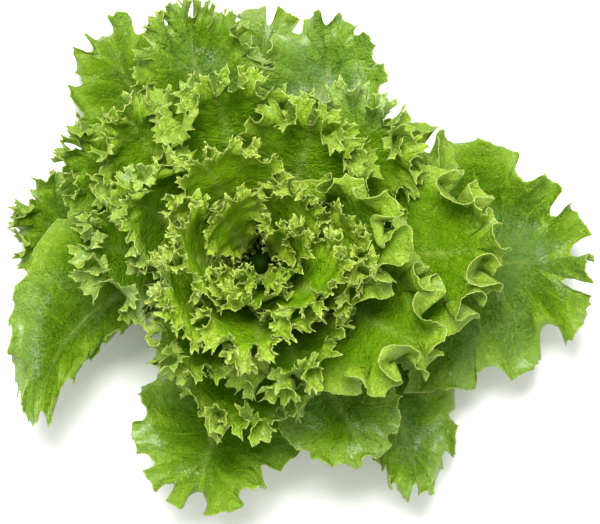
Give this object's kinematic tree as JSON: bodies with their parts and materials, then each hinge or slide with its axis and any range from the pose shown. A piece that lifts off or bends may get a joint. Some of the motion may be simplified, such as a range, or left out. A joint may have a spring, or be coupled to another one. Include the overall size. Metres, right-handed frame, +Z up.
{
  "type": "lollo bionda lettuce",
  "caption": "Loose head of pale green lettuce with densely frilled leaves in a rosette round a short stem, cut at the base and standing on the cut.",
  "frame": {"origin": "middle of the stem's cut face, which the head stands on", "axes": "+Z up along the stem, +X towards the longest outer leaf"},
  "size_m": [0.2938, 0.2677, 0.1266],
  "materials": {
    "stem": "moist, pale, cut across at the foot",
    "outer_leaf": "waxy satin, deeper green with a pale edge line",
    "middle_leaf": "waxy satin, yellow green frills",
    "heart_leaf": "waxy satin, light yellow green"
  },
  "bodies": {
    "root": {"stem": "stem", "outer_leaf_01": "outer_leaf", "outer_leaf_02": "outer_leaf", "outer_leaf_03": "outer_leaf", "outer_leaf_04": "outer_leaf", "outer_leaf_05": "outer_leaf", "outer_leaf_06": "outer_leaf", "outer_leaf_07": "outer_leaf", "outer_leaf_08": "outer_leaf", "outer_leaf_09": "outer_leaf", "outer_leaf_10": "outer_leaf", "outer_leaf_11": "outer_leaf", "outer_leaf_12": "outer_leaf", "middle_leaf_01": "middle_leaf", "middle_leaf_02": "middle_leaf", "middle_leaf_03": "middle_leaf", "middle_leaf_04": "middle_leaf", "middle_leaf_05": "middle_leaf", "middle_leaf_06": "middle_leaf", "middle_leaf_07": "middle_leaf", "middle_leaf_08": "middle_leaf", "middle_leaf_09": "middle_leaf", "middle_leaf_10": "middle_leaf", "middle_leaf_11": "middle_leaf", "middle_leaf_12": "middle_leaf", "heart_leaf_01": "heart_leaf", "heart_leaf_02": "heart_leaf", "heart_leaf_03": "heart_leaf", "heart_leaf_04": "heart_leaf", "heart_leaf_05": "heart_leaf", "heart_leaf_06": "heart_leaf", "heart_leaf_07": "heart_leaf", "heart_leaf_08": "heart_leaf", "heart_leaf_09": "heart_leaf", "heart_leaf_10": "heart_leaf", "heart_leaf_11": "heart_leaf", "heart_leaf_12": "heart_leaf"}
  },
  "joints": []
}
